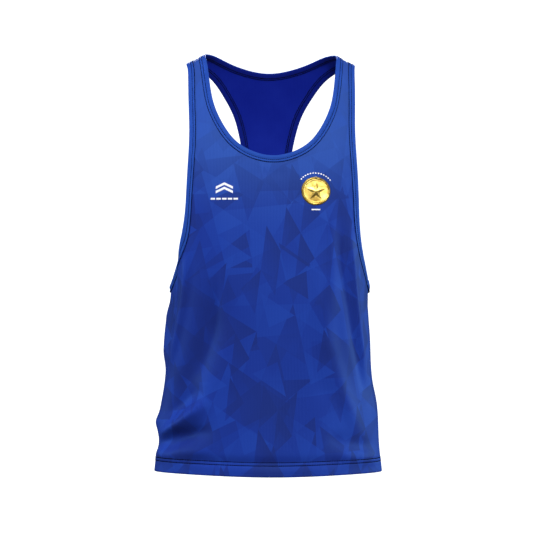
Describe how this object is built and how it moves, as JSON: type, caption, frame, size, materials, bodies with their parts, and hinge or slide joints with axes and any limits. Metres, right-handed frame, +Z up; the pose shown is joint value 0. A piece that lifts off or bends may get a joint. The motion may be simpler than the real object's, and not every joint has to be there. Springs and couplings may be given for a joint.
{
  "type": "boxing vest",
  "caption": "Racer-back training vest in printed knit, filled out as if worn, with bound neck and armholes and a turned-up hem.",
  "frame": {"origin": "midway between the tops of the two straps, where the wearer's shoulders carry the vest", "axes": "+Z up, towards the neck; the front of the vest faces -Y and the wearer's left side is at +X"},
  "size_m": [0.384, 0.243, 0.7024],
  "materials": {
    "printed_knit": "matt polyester knit with a tonal blue triangle print",
    "binding_rib": "matt blue rib knit"
  },
  "bodies": {
    "root": {"front_panel": "printed_knit", "back_panel": "printed_knit", "neck_binding": "binding_rib", "armhole_binding_left": "binding_rib", "armhole_binding_right": "binding_rib"}
  },
  "joints": []
}
